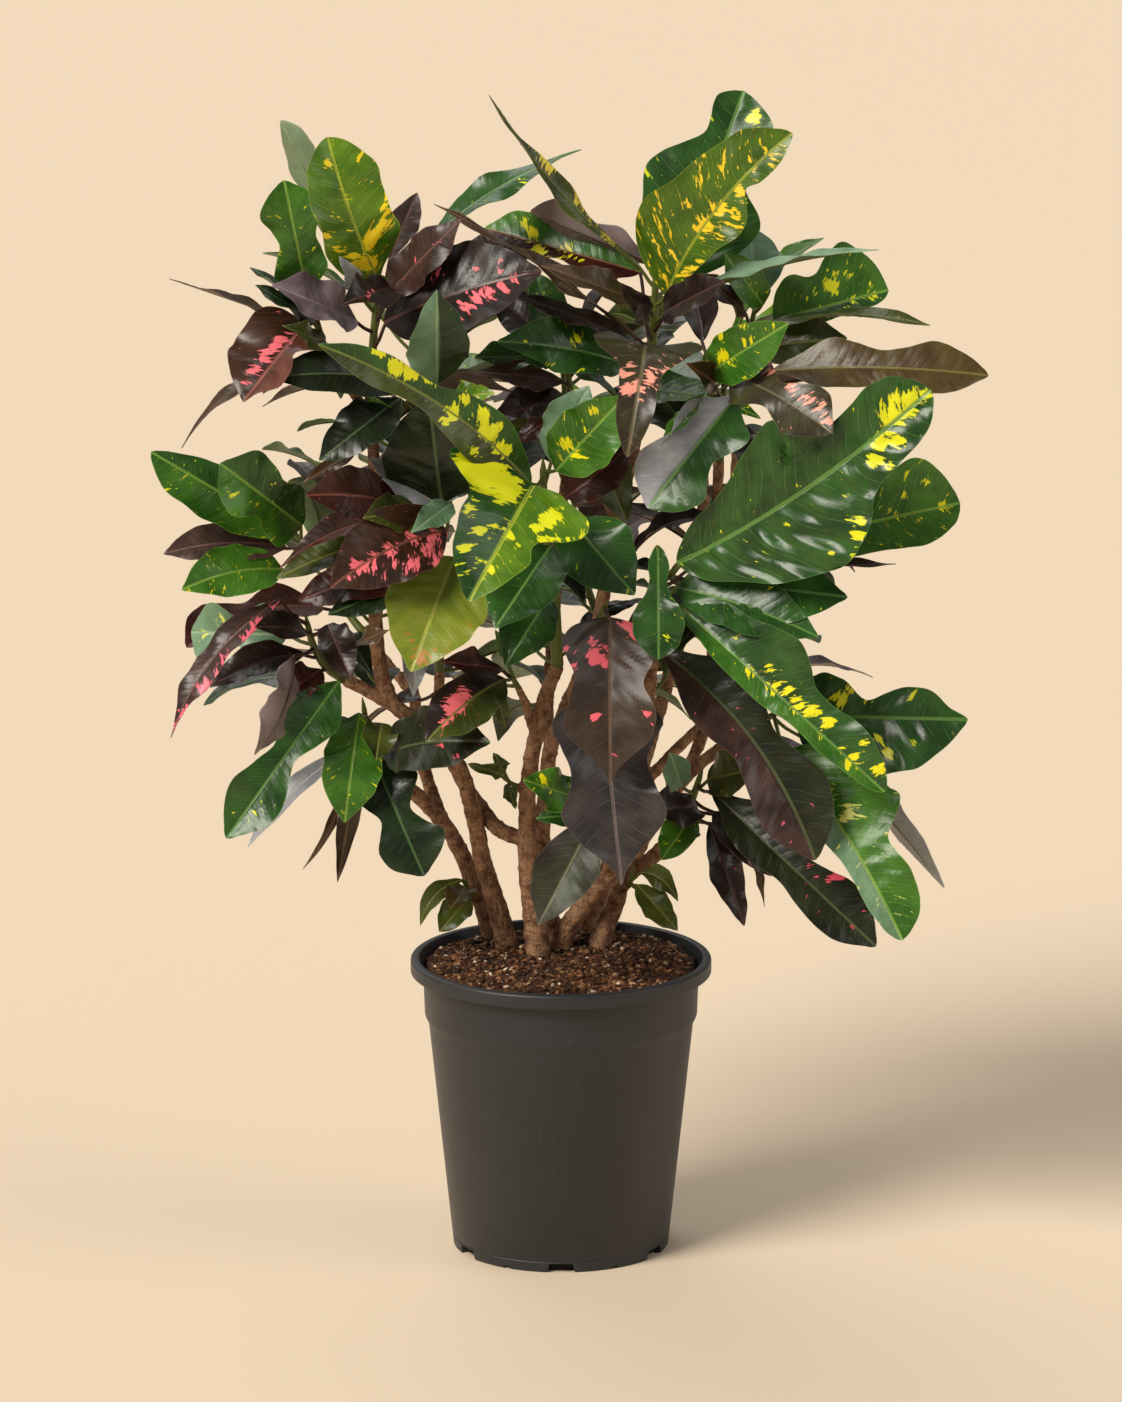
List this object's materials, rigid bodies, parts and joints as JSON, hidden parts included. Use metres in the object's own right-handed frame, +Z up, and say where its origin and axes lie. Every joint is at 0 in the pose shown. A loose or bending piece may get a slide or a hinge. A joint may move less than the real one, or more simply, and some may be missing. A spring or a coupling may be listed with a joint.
{
  "type": "potted croton",
  "caption": "Bushy croton in a round nursery pot: woody stems rise from the soil and carry shoots of large waved, lobed leaves with yellow and pink patches.",
  "frame": {"origin": "middle of the pot's underside, on the floor", "axes": "+Z up, from the pot to the crown; -Y towards the front, which is the side the picture shows"},
  "size_m": [0.6503, 0.5238, 0.9347],
  "materials": {
    "pot_plastic": "charcoal black, fine grain, slight sheen",
    "potting_soil": "loose brown peat and bark with pale crumbs, matte",
    "bark": "brown bark with pale flecks, rough",
    "green_leaves": "glossy green leaves with yellow patches",
    "dark_leaves": "glossy purple-black leaves with pink patches"
  },
  "bodies": {
    "root": {"pot": "pot_plastic", "soil": "potting_soil", "stem_centre": "bark", "stem_left": "bark", "stem_back_left": "bark", "stem_middle": "bark", "stem_front_right": "bark", "stem_right": "bark", "stem_back_right": "bark", "shoot_top_left": "green_leaves", "shoot_top_outer": "dark_leaves", "shoot_upper_left": "green_leaves", "shoot_top_right": "green_leaves", "shoot_right_high": "green_leaves", "shoot_right_upper": "green_leaves", "shoot_upper_middle": "dark_leaves", "shoot_centre": "green_leaves", "shoot_left_inner": "green_leaves", "shoot_left_mid": "green_leaves", "shoot_left_low": "green_leaves", "shoot_low_left": "green_leaves", "shoot_twig": "green_leaves", "shoot_sprout": "green_leaves", "shoot_low_middle": "green_leaves", "shoot_hanging": "dark_leaves", "shoot_right_front": "green_leaves", "shoot_right_mid": "green_leaves", "shoot_low_right": "dark_leaves", "shoot_foot_left": "green_leaves", "shoot_foot_right": "green_leaves", "shoot_back_left": "green_leaves", "shoot_back_left_low": "green_leaves", "shoot_back_middle": "green_leaves", "shoot_back_low": "green_leaves", "shoot_back_right": "green_leaves", "shoot_back_right_low": "green_leaves"}
  },
  "joints": []
}
